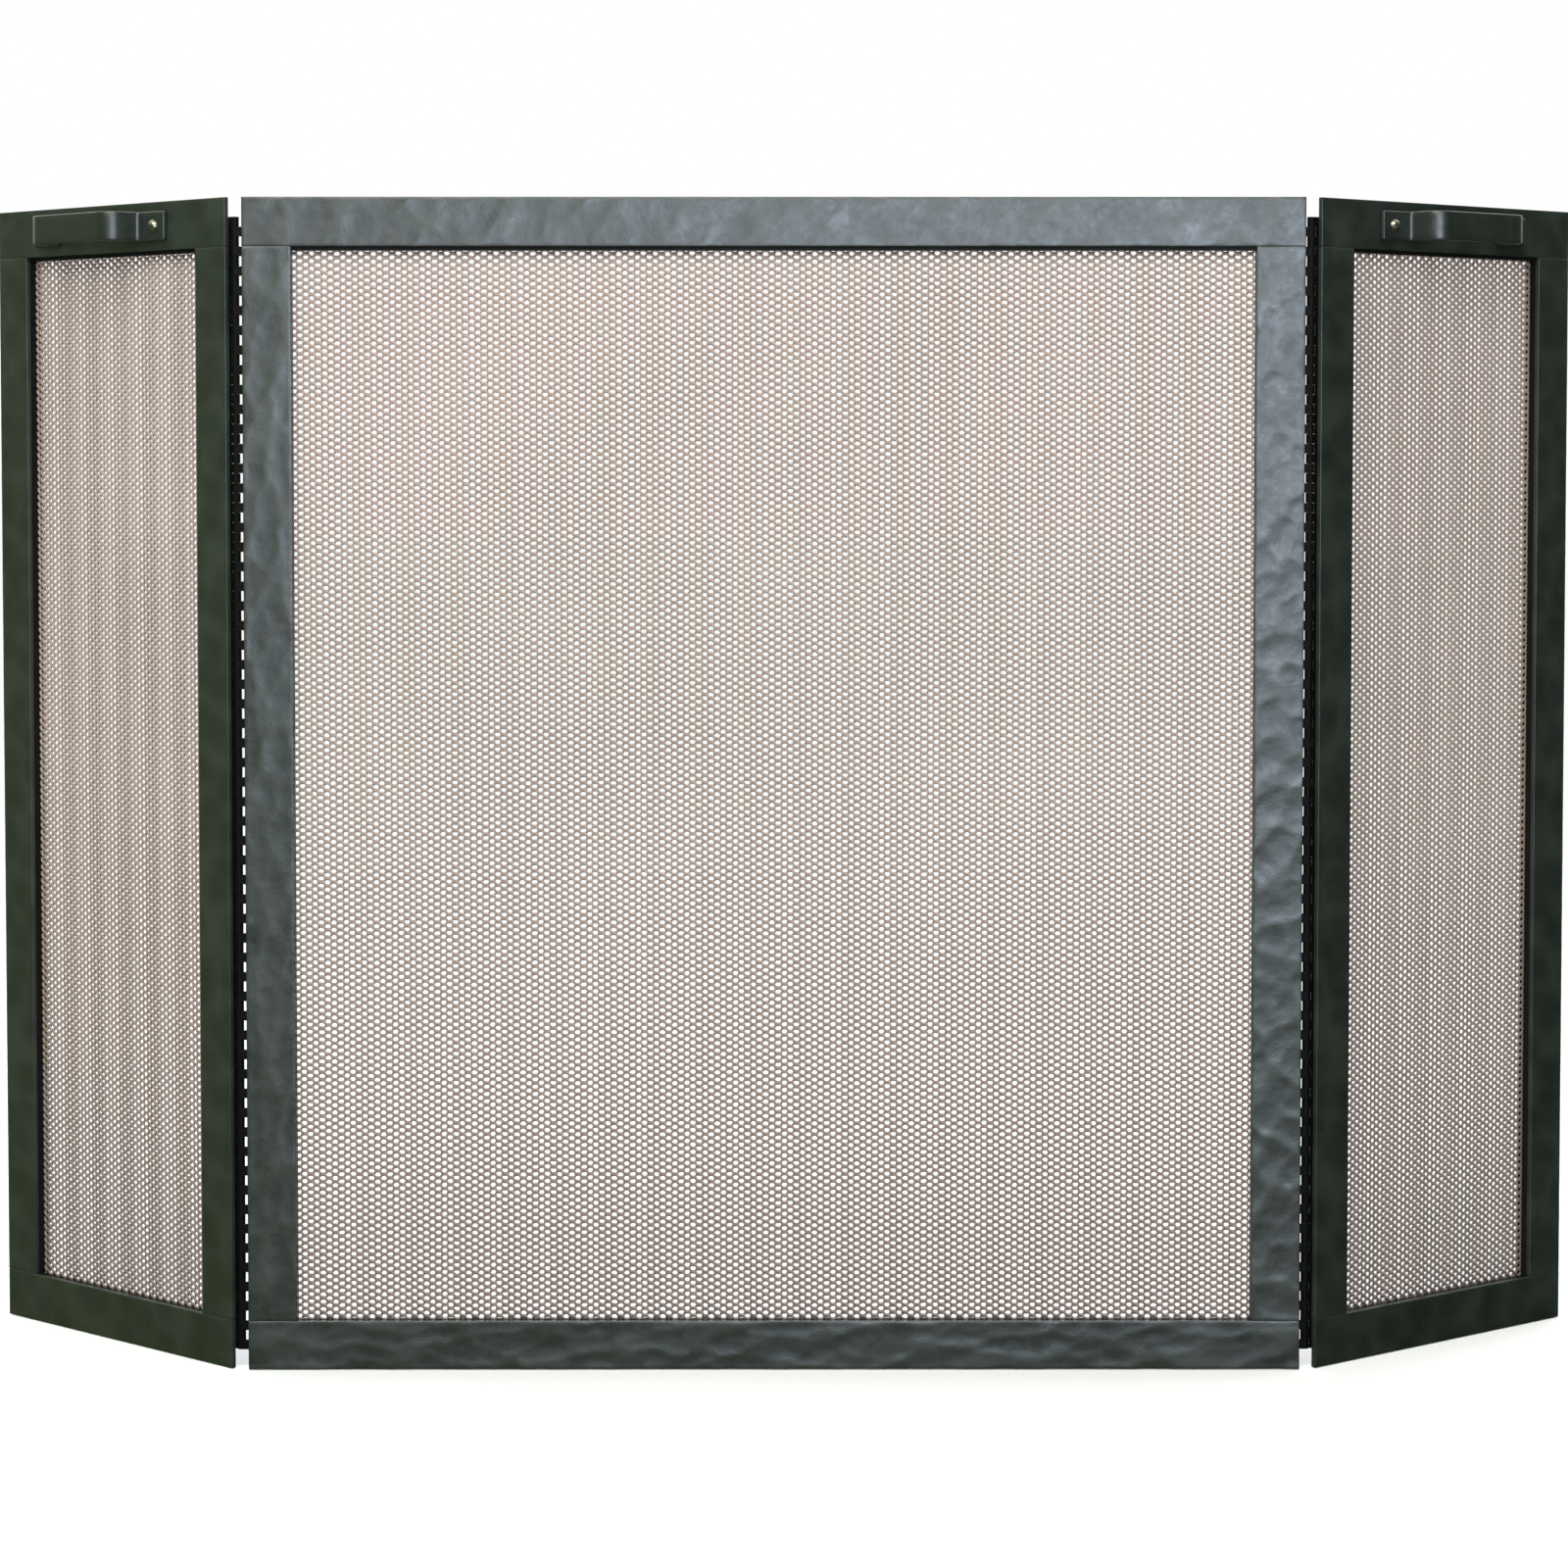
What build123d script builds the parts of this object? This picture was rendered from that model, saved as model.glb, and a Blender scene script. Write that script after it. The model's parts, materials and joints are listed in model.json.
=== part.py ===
from build123d import *
import math
import os

os.makedirs("parts", exist_ok=True)

# Driving dimensions, in millimetres and degrees

# Panels, measured over their face bars. Each wing stands folded back from flat by its own angle.
panel_height = 762.0
centre_width = 685.8
wing_width = 254.0
left_fold = 45.6
right_fold = 41.6

# Face bars: flat bar on the show side. The rails run right across and the stiles fit between them.
bar_width = 31.75
bar_thick = 3.2

# Backing bars, welded behind the face bars around the opening. The top one hangs below its rail.
backing_width = 9.5
backing_thick = 4.8
backing_drop = 2.5

# Spark mesh: a net of crossing strands, with a plain margin that is clamped all round.
mesh_thick = 2.0
mesh_strand = 5.0
mesh_cell_width = 51.0
mesh_cell_height = 63.0
mesh_setback = 1.0

# Retainer strips behind the mesh, held to the backing bars by small screws.
retainer_thick = 2.0
retainer_screw_dia = 3.0
retainer_screw_bite = 4.0
retainer_screw_spacing = 115.0
retainer_head_dia = 5.5
retainer_head_height = 1.8

# Continuous hinges: two leaves rolled round one pin, with knuckles that alternate. Each barrel is this far
# from the two stiles beside it. The cut-outs between the knuckles of a centre leaf run right to the stile and
# show as slots, and those of a wing leaf end close to the barrel.
hinge_inset = 12.7
hinge_pin_dia = 3.0
hinge_pin_clearance = 0.05
leaf_thick = 1.2
leaf_lap = 14.85
knuckle_length = 6.35
knuckle_gap = 0.1
left_centre_slot = 2.1
left_wing_slot = 0.5
right_centre_slot = 1.1
right_wing_slot = 1.3
notch_clearance = 0.15
hinge_screw_dia = 2.5
hinge_screw_bite = 2.2
hinge_screw_spacing = 100.0
hinge_head_dia = 4.6
hinge_head_height = 1.4

# Pull handles: a bent strap on the top rail of each wing. The centres are from the wings' inner edges.
left_handle_centre = 134.5
right_handle_centre = 130.0
handle_span = 92.0
handle_rise = 28.0
strap_width = 19.05
strap_thick = 3.2
foot_length = 27.0
foot_screw_setback = 11.0
foot_bend = 3.0
grip_bend = 8.0
handle_screw_dia = 4.8
handle_screw_tip = 1.5
round_head_dia = 8.4
round_head_height = 3.3
nut_flats = 9.5
nut_height = 3.2

# Fits, on the radius: a screw in a plain hole, and a screw in its thread.
hole_clearance = 0.3
thread_clearance = 0.05

# The slot across a screw head, as shares of the head's diameter and height.
slot_width_share = 0.16
slot_depth_share = 0.45

# How far a cutting tool runs past the faces that it cuts.
overcut = 1.0

# Places that follow from the sizes above. Y runs from front to back, and is 0 halfway through a face bar.
face_front = -bar_thick / 2
face_back = bar_thick / 2
backing_back = face_back + backing_thick
mesh_back = backing_back + mesh_thick
retainer_back = mesh_back + retainer_thick
opening_low = bar_width
opening_high = panel_height - bar_width - backing_drop
barrel_radius = hinge_pin_dia / 2 + hinge_pin_clearance + leaf_thick
roll_reach = math.sqrt(barrel_radius**2 - (barrel_radius - leaf_thick) ** 2)
axis_y = face_back + barrel_radius
hinge_length = panel_height - 2 * hinge_inset
handle_z = panel_height - bar_width / 2


def block(x_range, y_range, z_range):
    """A box given by its lowest and highest X, Y and Z."""
    ranges = (x_range, y_range, z_range)
    middle = Pos(*[(low + high) / 2 for low, high in ranges])
    return middle * Box(*[high - low for low, high in ranges])


def drills(points, diameter, y_range):
    """Round cutting tools along Y, one at each (x, z) point."""
    low, high = y_range
    tool = Cylinder(diameter / 2, high - low, rotation=(90, 0, 0))
    return [Pos(x, (low + high) / 2, z) * tool for x, z in points]


def through(y_range):
    """The span of a tool that cuts right through a piece."""
    low, high = y_range
    return low - overcut, high + overcut


def evenly(low, high, spacing):
    """Places along a length, about one spacing apart, with half a step left at both ends."""
    count = max(2, round((high - low) / spacing))
    step = (high - low) / count
    return [low + step * (i + 0.5) for i in range(count)]


def screw(shank_dia, shank_length, head_dia, head_height):
    """A slotted round-head screw along Z, with the underside of its head at the origin."""
    head_radius = head_dia / 2
    sphere_radius = (head_radius**2 + head_height**2) / (2 * head_height)
    half_angle = math.asin(head_radius / sphere_radius) / 2
    if head_height > head_radius:
        half_angle = math.pi / 2 - half_angle
    dome_middle = (
        sphere_radius * math.sin(half_angle),
        head_height - sphere_radius * (1 - math.cos(half_angle)),
    )
    profile = make_face(
        [
            Line((0, 0), (head_radius, 0)),
            ThreePointArc((head_radius, 0), dome_middle, (0, head_height)),
            Line((0, head_height), (0, 0)),
        ]
    )
    head = revolve(Plane.XZ * profile, axis=Axis.Z)
    slot_depth = head_height * slot_depth_share
    slot = Pos(0, 0, head_height) * Box(head_dia, head_dia * slot_width_share, 2 * slot_depth)
    shank = Pos(0, 0, -shank_length / 2) * Cylinder(shank_dia / 2, shank_length)
    return head - slot + shank


def screws_along_y(points, seat_y, facing, one_screw):
    """A set of screws with their heads seated at seat_y, facing back (+1) or front (-1)."""
    turned = Rot(-90 * facing, 0, 0) * one_screw
    return Compound([Pos(x, seat_y, z) * turned for x, z in points])


# Panels


def strip_outlines(width, sides):
    """The (x range, z range) of the backing bars, which the retainer strips share."""
    left = bar_width
    right = width - bar_width
    low = opening_low
    high = opening_high
    full_height = (low - backing_width, high + backing_width)
    return {
        "top": ((left, right), (high, high + backing_width)),
        "bottom": ((left, right), (low - backing_width, low)),
        sides[0]: ((left - backing_width, left), full_height),
        sides[1]: ((right, right + backing_width), full_height),
    }


def strip_screw_points(outline):
    """Screw places along the middle of a strip, the long way."""
    (x_low, x_high), (z_low, z_high) = outline
    if x_high - x_low > z_high - z_low:
        return [(x, (z_low + z_high) / 2) for x in evenly(x_low, x_high, retainer_screw_spacing)]
    return [((x_low + x_high) / 2, z) for z in evenly(z_low, z_high, retainer_screw_spacing)]


def hinge_screw_points(edge_x, inwards):
    """Screw places of a hinge leaf on the stile whose outer edge is at edge_x."""
    x = edge_x + inwards * leaf_lap / 2
    return [(x, z) for z in evenly(bar_width, panel_height - bar_width, hinge_screw_spacing)]


def face_bars(width, sides, hinge_points, handle_points):
    """The four face bars of a panel, drilled for the hinge leaves and the handle."""
    y_range = (face_front, face_back)
    stile_z = (bar_width, panel_height - bar_width)
    top_rail = block((0, width), y_range, (panel_height - bar_width, panel_height))
    handle_hole = handle_screw_dia + 2 * hole_clearance
    hinge_hole = hinge_screw_dia + 2 * thread_clearance
    blind = (face_back - hinge_screw_bite - thread_clearance, face_back + overcut)
    stile_x = {sides[0]: (0, bar_width), sides[1]: (width - bar_width, width)}
    bars = {
        "top_rail": top_rail - drills(handle_points, handle_hole, through(y_range)),
        "bottom_rail": block((0, width), y_range, (0, bar_width)),
    }
    for side, x_range in stile_x.items():
        points = [p for p in hinge_points if x_range[0] < p[0] < x_range[1]]
        bars[side + "_stile"] = block(x_range, y_range, stile_z) - drills(points, hinge_hole, blind)
    return bars


def mesh_gaps(x_range, z_range):
    """Corner lists of the net's gaps: whole diamonds, and half ones along its edges."""
    (x_low, x_high), (z_low, z_high) = x_range, z_range
    columns = max(1, round((x_high - x_low) / mesh_cell_width))
    rows = max(1, round((z_high - z_low) / mesh_cell_height))
    half_x = (x_high - x_low) / columns / 2
    half_z = (z_high - z_low) / rows / 2
    reach = half_x * half_z / math.hypot(half_x, half_z)
    share = 1 - mesh_strand / 2 / reach
    turns = ((1, 0), (0, 1), (-1, 0), (0, -1))
    gaps = []
    for i in range(2 * columns + 1):
        for j in range(2 * rows + 1):
            if (i + j) % 2 == 1:
                continue
            steps = [(a, b) for a, b in turns if 0 <= i + a <= 2 * columns and 0 <= j + b <= 2 * rows]
            if len(steps) < 3:
                continue
            x = x_low + i * half_x
            z = z_low + j * half_z
            gaps.append([(x + a * half_x * share, z + b * half_z * share) for a, b in steps])
    return gaps


def spark_mesh(width, screw_points):
    """The net as one holed face, thickened backwards from the backing bars."""
    reach = backing_width - mesh_setback
    x_low = bar_width - reach
    x_high = width - bar_width + reach
    z_low = opening_low - reach
    z_high = opening_high + reach
    corners = [(x_low, z_low), (x_high, z_low), (x_high, z_high), (x_low, z_high)]
    gaps = mesh_gaps((bar_width, width - bar_width), (opening_low, opening_high))
    outlines = [[(x, backing_back, z) for x, z in points] for points in [corners] + gaps]
    outer, *inner = [Wire.make_polygon(points, close=True) for points in outlines]
    net = extrude(Face(outer, inner), amount=mesh_thick, dir=(0, 1, 0))
    screw_hole = retainer_screw_dia + 2 * hole_clearance
    print("mesh gaps:", len(gaps))
    return net - drills(screw_points, screw_hole, through((backing_back, mesh_back)))


def panel(width, sides, hinge_points, handle_points):
    """All fixed pieces of one panel, with its first side at X 0 and its foot at Z 0."""
    pieces = face_bars(width, sides, hinge_points, handle_points)
    outlines = strip_outlines(width, sides)
    tapped = retainer_screw_dia + 2 * thread_clearance
    clear = retainer_screw_dia + 2 * hole_clearance
    backing_y = (face_back, backing_back)
    retainer_y = (mesh_back, retainer_back)
    all_points = []
    for side, (x_range, z_range) in outlines.items():
        points = strip_screw_points((x_range, z_range))
        all_points += points
        backing = block(x_range, backing_y, z_range)
        retainer = block(x_range, retainer_y, z_range)
        pieces[side + "_backing"] = backing - drills(points, tapped, through(backing_y))
        pieces[side + "_retainer"] = retainer - drills(points, clear, through(retainer_y))
    pieces["mesh"] = spark_mesh(width, all_points)
    shank = retainer_thick + mesh_thick + retainer_screw_bite
    one = screw(retainer_screw_dia, shank, retainer_head_dia, retainer_head_height)
    pieces["retainer_screws"] = screws_along_y(all_points, retainer_back, 1, one)
    return pieces


# Hinges, made for a stile whose outer edge is at X 0 and that lies towards +X


def hinge_leaf(first_knuckle, edge_gap, notch_end):
    """One leaf with every second knuckle. Between them its flat is cut back to notch_end."""
    axis = -edge_gap
    leaf_back = face_back + leaf_thick
    section = make_face(
        [
            Line((axis, face_back), (leaf_lap, face_back)),
            Line((leaf_lap, face_back), (leaf_lap, leaf_back)),
            Line((leaf_lap, leaf_back), (axis + roll_reach, leaf_back)),
            ThreePointArc((axis + roll_reach, leaf_back), (axis - barrel_radius, axis_y), (axis, face_back)),
        ]
    )
    bore = Pos(axis, axis_y) * Circle(hinge_pin_dia / 2 + hinge_pin_clearance)
    leaf = Pos(0, 0, hinge_inset) * extrude(section - bore, amount=hinge_length)
    pairs = max(1, round(hinge_length / knuckle_length / 2))
    pitch = hinge_length / pairs / 2
    far_side = axis - barrel_radius - overcut
    near_side = axis + barrel_radius + overcut
    notches = []
    for k in range(1 - first_knuckle, 2 * pairs, 2):
        start = hinge_inset + k * pitch
        notch_z = (start - knuckle_gap / 2, start + pitch + knuckle_gap / 2)
        notches.append(block((far_side, notch_end), (face_back - overcut, leaf_back), notch_z))
        notches.append(block((far_side, near_side), (leaf_back, axis_y + barrel_radius + overcut), notch_z))
    hole = hinge_screw_dia + 2 * hole_clearance
    holes = drills(hinge_screw_points(0, 1), hole, through((face_back, leaf_back)))
    return leaf - notches - holes


def hinge_screws():
    """The screws of one leaf, driven from behind into the stile."""
    shank = leaf_thick + hinge_screw_bite
    one = screw(hinge_screw_dia, shank, hinge_head_dia, hinge_head_height)
    return screws_along_y(hinge_screw_points(0, 1), face_back + leaf_thick, 1, one)


def hinge_pin(edge_gap):
    """The pin, at the hinge's axis."""
    middle = Pos(-edge_gap, axis_y, hinge_inset + hinge_length / 2)
    return middle * Cylinder(hinge_pin_dia / 2, hinge_length)


# Pull handles, in the wing's own place


def handle_screw_points(centre):
    """The two screws of a handle, one in each foot."""
    reach = handle_span / 2 + foot_length - foot_screw_setback
    return [(centre - reach, handle_z), (centre + reach, handle_z)]


def handle_strap(centre):
    """The strap: a foot, a leg, the raised grip, a leg and a foot."""

    def at(along, rise):
        return centre + along, face_front - rise

    half = handle_span / 2
    end = half + foot_length
    inside = half - strap_thick
    under = handle_rise - strap_thick
    outer_grip = grip_bend + strap_thick
    outer_foot = foot_bend + strap_thick
    front = FilletPolyline(
        at(-end, strap_thick),
        at(-half, strap_thick),
        at(-half, handle_rise),
        at(half, handle_rise),
        at(half, strap_thick),
        at(end, strap_thick),
        radius=[foot_bend, outer_grip, outer_grip, foot_bend],
    )
    back = FilletPolyline(
        at(end, 0),
        at(inside, 0),
        at(inside, under),
        at(-inside, under),
        at(-inside, 0),
        at(-end, 0),
        radius=[outer_foot, grip_bend, grip_bend, outer_foot],
    )
    ends = [Line(at(end, strap_thick), at(end, 0)), Line(at(-end, 0), at(-end, strap_thick))]
    outline = make_face([front, back] + ends)
    strap = Pos(0, 0, handle_z - strap_width / 2) * extrude(outline, amount=strap_width)
    hole = handle_screw_dia + 2 * hole_clearance
    foot_y = (face_front - strap_thick, face_front)
    return strap - drills(handle_screw_points(centre), hole, through(foot_y))


def handle_screws(centre):
    """The round-head screws, through the feet and the rail."""
    shank = strap_thick + bar_thick + nut_height + handle_screw_tip
    one = screw(handle_screw_dia, shank, round_head_dia, round_head_height)
    return screws_along_y(handle_screw_points(centre), face_front - strap_thick, -1, one)


def handle_nuts(centre):
    """The nuts behind the rail."""
    bore = Circle(handle_screw_dia / 2 + thread_clearance)
    section = RegularPolygon(nut_flats / 2, 6, major_radius=False) - bore
    nut = Rot(-90, 0, 0) * extrude(section, amount=nut_height)
    return Compound([Pos(x, face_back, z) * nut for x, z in handle_screw_points(centre)])


# The centre panel

nodes = {}
centre_points = hinge_screw_points(0, 1) + hinge_screw_points(centre_width, -1)
for name, piece in panel(centre_width, ("left", "right"), centre_points, []).items():
    nodes["centre_" + name] = Pos(-centre_width / 2, 0, 0) * piece

# The hinges and the wings


def centre_half(edge_gap):
    """The centre's half of a hinge, made for the centre's left stile."""
    pieces = {
        "hinge_centre_leaf": hinge_leaf(0, edge_gap, 0),
        "hinge_pin": hinge_pin(edge_gap),
        "hinge_centre_screws": hinge_screws(),
    }
    return {name: Pos(-centre_width / 2, 0, 0) * piece for name, piece in pieces.items()}


def wing(edge_gap, handle_centre):
    """All pieces of one wing, with its inner edge at X 0."""
    screw_points = handle_screw_points(handle_centre)
    flat = panel(wing_width, ("inner", "outer"), hinge_screw_points(0, 1), screw_points)
    pieces = {"wing_" + name: piece for name, piece in flat.items()}
    notch_end = roll_reach + notch_clearance - edge_gap
    pieces["hinge_wing_leaf"] = hinge_leaf(1, edge_gap, notch_end)
    pieces["hinge_wing_screws"] = hinge_screws()
    pieces["handle"] = handle_strap(handle_centre)
    pieces["handle_screws"] = handle_screws(handle_centre)
    pieces["handle_nuts"] = handle_nuts(handle_centre)
    return pieces


def folded_wing(centre_gap, wing_gap, fold, handle_centre):
    """A wing on the right-hand hinge, folded back by its angle."""
    axis_x = centre_width / 2 + centre_gap
    place = Pos(axis_x, axis_y, 0) * Rot(0, 0, fold) * Pos(wing_gap, -axis_y, 0)
    return {name: place * piece for name, piece in wing(wing_gap, handle_centre).items()}


left_gap = barrel_radius + left_centre_slot
right_gap = barrel_radius + right_centre_slot
left_wing = folded_wing(left_gap, barrel_radius + left_wing_slot, left_fold, left_handle_centre)
right_wing = folded_wing(right_gap, barrel_radius + right_wing_slot, right_fold, right_handle_centre)

for name, piece in centre_half(left_gap).items():
    nodes["left_" + name] = piece
for name, piece in left_wing.items():
    nodes["left_" + name] = piece.mirror(Plane.YZ)
for name, piece in centre_half(right_gap).items():
    nodes["right_" + name] = piece.mirror(Plane.YZ)
for name, piece in right_wing.items():
    nodes["right_" + name] = piece

for name, piece in nodes.items():
    export_step(piece, f"parts/{name}.step")
print("nodes:", len(nodes))
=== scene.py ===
# %% [markdown]
# # A folding fireplace screen
# Three framed panels of wire mesh stand in front of a hearth: a wide centre
# panel and two wings on long hinges. The solid parts come in as a packed
# frame, already in their places. This lesson dresses them: hammered bars,
# bent handles, a woven mesh, and the paints and metals they are finished in.

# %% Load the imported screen
import json
import math

import bmesh
import bpy
from mathutils import Matrix, Vector


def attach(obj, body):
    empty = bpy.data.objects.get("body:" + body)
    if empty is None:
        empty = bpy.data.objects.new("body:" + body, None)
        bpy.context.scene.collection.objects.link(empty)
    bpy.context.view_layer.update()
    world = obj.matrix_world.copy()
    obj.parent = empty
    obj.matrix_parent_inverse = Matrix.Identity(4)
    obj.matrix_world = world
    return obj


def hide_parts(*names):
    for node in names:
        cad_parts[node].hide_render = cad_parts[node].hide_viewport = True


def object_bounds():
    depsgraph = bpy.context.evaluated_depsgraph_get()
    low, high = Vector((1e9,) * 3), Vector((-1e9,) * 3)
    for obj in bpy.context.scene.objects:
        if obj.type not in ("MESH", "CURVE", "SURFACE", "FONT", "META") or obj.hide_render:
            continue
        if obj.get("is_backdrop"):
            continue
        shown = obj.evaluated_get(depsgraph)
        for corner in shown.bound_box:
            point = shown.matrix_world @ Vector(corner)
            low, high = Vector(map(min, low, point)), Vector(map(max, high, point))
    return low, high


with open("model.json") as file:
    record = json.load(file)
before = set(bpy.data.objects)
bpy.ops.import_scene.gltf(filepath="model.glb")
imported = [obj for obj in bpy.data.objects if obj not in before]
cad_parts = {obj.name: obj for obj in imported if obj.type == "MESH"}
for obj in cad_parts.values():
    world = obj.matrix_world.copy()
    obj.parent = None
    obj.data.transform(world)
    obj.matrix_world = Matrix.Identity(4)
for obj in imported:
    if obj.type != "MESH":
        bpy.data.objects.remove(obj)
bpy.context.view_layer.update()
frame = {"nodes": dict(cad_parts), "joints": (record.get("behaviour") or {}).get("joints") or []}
MM = 0.001
print("packed nodes:", len(frame["nodes"]))

# %% [markdown]
# ## The camera
# The photograph was taken almost square on, from a little above the middle.
# Twelve panel corners fix the place of the lens. The picture looks slightly
# lower than the lens does, and a small shift does that without a tilt, so
# that upright bars stay nearly upright.

# %% Camera at the photograph's place
# in the photograph's pixels
PICTURE_SIDE = 1600
FOCAL_PIXELS = 4388.4
AXIS_ROW = 700
# in millimetres, as lenses are sold
SENSOR_WIDTH = 36.0
# in metres, and then degrees
LENS_PLACE = (0.0007, -2.7812, 0.5936)
TILT_DOWN = 3.025
TURN_RIGHT = 0.119

lens = bpy.data.cameras.new("photo_lens")
lens.sensor_width = SENSOR_WIDTH
lens.lens = FOCAL_PIXELS * SENSOR_WIDTH / PICTURE_SIDE
lens.shift_y = (AXIS_ROW - PICTURE_SIDE / 2) / PICTURE_SIDE
camera = bpy.data.objects.new("photo_camera", lens)
camera.location = LENS_PLACE
camera.rotation_euler = (math.radians(90 - TILT_DOWN), 0, math.radians(-TURN_RIGHT))
bpy.context.scene.collection.objects.link(camera)
bpy.context.scene.camera = camera
print("lens:", round(lens.lens, 1), "mm")

# %% [markdown]
# ## Where each panel lies
# A wing is easiest to make flat, as if it were still on the bench, and then
# turned about its hinge. Each panel therefore gets a matrix that takes bench
# coordinates to its place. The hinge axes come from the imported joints, and
# only the two fold angles are written down here.

# %% Panel places
# degrees back from a flat screen
FOLD_BACK = {"left": 45.6, "right": 41.6}

axes = {j["child"]: Vector(j["pos_m"]) for j in frame["joints"]}
places = {"centre": ("centre_panel", Matrix.Identity(4))}
for side, sign in (("left", -1), ("right", 1)):
    axis = axes[side + "_wing"]
    to_face = Matrix.Translation((0, -axis.y, 0))
    turn = Matrix.Rotation(sign * math.radians(FOLD_BACK[side]), 4, "Z")
    places[side] = (side + "_wing", Matrix.Translation(axis) @ turn @ to_face)


def bench_box(node, place):
    """Lowest and highest corner of a CAD node in its panel's bench coordinates."""
    back = place.inverted()
    points = [back @ v.co for v in frame["nodes"][node].data.vertices]
    low = Vector(map(min, zip(*points)))
    high = Vector(map(max, zip(*points)))
    return low, high


for side, (_, place) in places.items():
    node = "centre_top_rail" if side == "centre" else side + "_wing_top_rail"
    low, high = bench_box(node, place)
    print(side, "rail", [round(v / MM, 2) for v in (*low, *high)])

# %% [markdown]
# ## Small helpers
# Colours are given as sRGB hex values, as a colour picker shows them, and
# shaders want linear light. One function turns them. Another adds a node to
# any tree, with its settings and what feeds its inputs. The last four are
# short names for nodes that come up again and again.


# %% Colour and node helpers
def linear(hex_colour):
    """An sRGB hex colour as linear RGBA."""
    channels = [int(hex_colour[i : i + 2], 16) / 255 for i in (1, 3, 5)]
    curve = [c / 12.92 if c <= 0.04045 else ((c + 0.055) / 1.055) ** 2.4 for c in channels]
    return (*curve, 1.0)


def feed(tree, node, inputs):
    """Set a node's inputs to values, or link them to the output sockets given."""
    for key, value in inputs.items():
        if isinstance(value, bpy.types.NodeSocket):
            tree.links.new(value, node.inputs[key])
        else:
            node.inputs[key].default_value = value


def add_node(tree, kind, inputs=None, **settings):
    """A new node with its settings and inputs."""
    node = tree.nodes.new(kind)
    for name, value in settings.items():
        setattr(node, name, value)
    feed(tree, node, inputs or {})
    return node


def maths(tree, operation, *values):
    """One operation on numbers."""
    inputs = dict(enumerate(values))
    return add_node(tree, "ShaderNodeMath", inputs, operation=operation).outputs[0]


def vector_maths(tree, operation, *values):
    """One operation on vectors."""
    inputs = dict(enumerate(values))
    return add_node(tree, "ShaderNodeVectorMath", inputs, operation=operation).outputs[0]


def xyz(tree, **parts):
    """A vector from its parts X, Y and Z. A part left out is zero."""
    return add_node(tree, "ShaderNodeCombineXYZ", parts).outputs[0]


def fade(tree, value, low, high, shape="LINEAR"):
    """A share that is 0 at the low value and 1 at the high one."""
    inputs = {"Value": value, "From Min": low, "From Max": high}
    return add_node(tree, "ShaderNodeMapRange", inputs, interpolation_type=shape).outputs[0]


print("white is", linear("#ffffff"))

# %% [markdown]
# Every material starts empty and is built from three more. A noise has
# features of a real size. A blend lies between two colours. A spread takes
# the middle of a noise, where nearly all its values lie, and lays it over a
# range of roughness.

# %% Material helpers
NOISE_LOW = 0.3
NOISE_MIDDLE = 0.5
NOISE_HIGH = 0.7


def new_material(name):
    """An empty material: its tree, its Principled shader and its Object coordinates."""
    material = bpy.data.materials.new(name)
    material.use_nodes = True
    tree = material.node_tree
    shader = tree.nodes["Principled BSDF"]
    where = tree.nodes.new("ShaderNodeTexCoord").outputs["Object"]
    return material, tree, shader, where


def noise(tree, where, size, detail, roughness):
    """A noise whose largest features have the given size."""
    inputs = {"Vector": where, "Scale": 1 / size, "Detail": detail, "Roughness": roughness}
    return add_node(tree, "ShaderNodeTexNoise", inputs).outputs[0]


def blend(tree, share, first, second):
    """A colour between two others."""
    inputs = {0: share, 6: first, 7: second}
    return add_node(tree, "ShaderNodeMix", inputs, data_type="RGBA").outputs[2]


def spread(tree, value, low, high):
    """A noise laid over a range."""
    inputs = {
        "Value": value,
        "From Min": NOISE_LOW,
        "From Max": NOISE_HIGH,
        "To Min": low,
        "To Max": high,
    }
    return add_node(tree, "ShaderNodeMapRange", inputs).outputs[0]


print("noise used from", NOISE_LOW, "to", NOISE_HIGH)

# %% [markdown]
# ## Graphite enamel on hammered steel
# The frames are hot-rolled flat bar, beaten on the show side and painted in
# a satin graphite enamel. The paint itself is nearly black, with a little
# green, and most of what the eye sees of it is a broad soft shine. That shine
# is uneven in patches from a thumb's width down to a grain, so one noise with
# many octaves drives both tone and roughness. The blows leave an attribute
# called ridge on the metal, so that the paint can be thin and pale on the
# ridges and pool darker in the hollows, as it does on the real bars.

# %% Graphite enamel
# the paint's own grain is finer than a pixel, so it is drawn coarser
ENAMEL_GRIT = 1.8 * MM
ENAMEL_PATCH = 32 * MM
ENAMEL_SMOOTH = 0.29
ENAMEL_ROUGH = 0.5
ENAMEL_SHINE = 0.75
PEBBLE_STRENGTH = 0.5
PEBBLE_DEPTH = 0.15 * MM
WORN_SHARE = 0.35

# sprayed enamel over hammered steel: a dark satin that mirrors softly, in patches
enamel, tree, shader, where = new_material("satin_graphite_enamel")
mottle = noise(tree, where, ENAMEL_PATCH, detail=5.0, roughness=0.8)
grit = noise(tree, where, ENAMEL_GRIT, detail=2.0, roughness=0.5)
ridge = add_node(tree, "ShaderNodeAttribute", attribute_name="ridge").outputs["Fac"]
worn = maths(tree, "MULTIPLY", ridge, WORN_SHARE)
paint = blend(tree, mottle, linear("#0f1611"), linear("#1d2720"))
thin_paint = blend(tree, worn, paint, linear("#323a32"))
gloss = spread(tree, mottle, ENAMEL_SMOOTH, ENAMEL_ROUGH)
pebble = add_node(
    tree,
    "ShaderNodeBump",
    {"Height": grit, "Strength": PEBBLE_STRENGTH, "Distance": PEBBLE_DEPTH},
)
feed(
    tree,
    shader,
    {
        "Base Color": thin_paint,
        "Roughness": gloss,
        "Normal": pebble.outputs[0],
        "Specular IOR Level": ENAMEL_SHINE,
    },
)
print("made", enamel.name)

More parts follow.
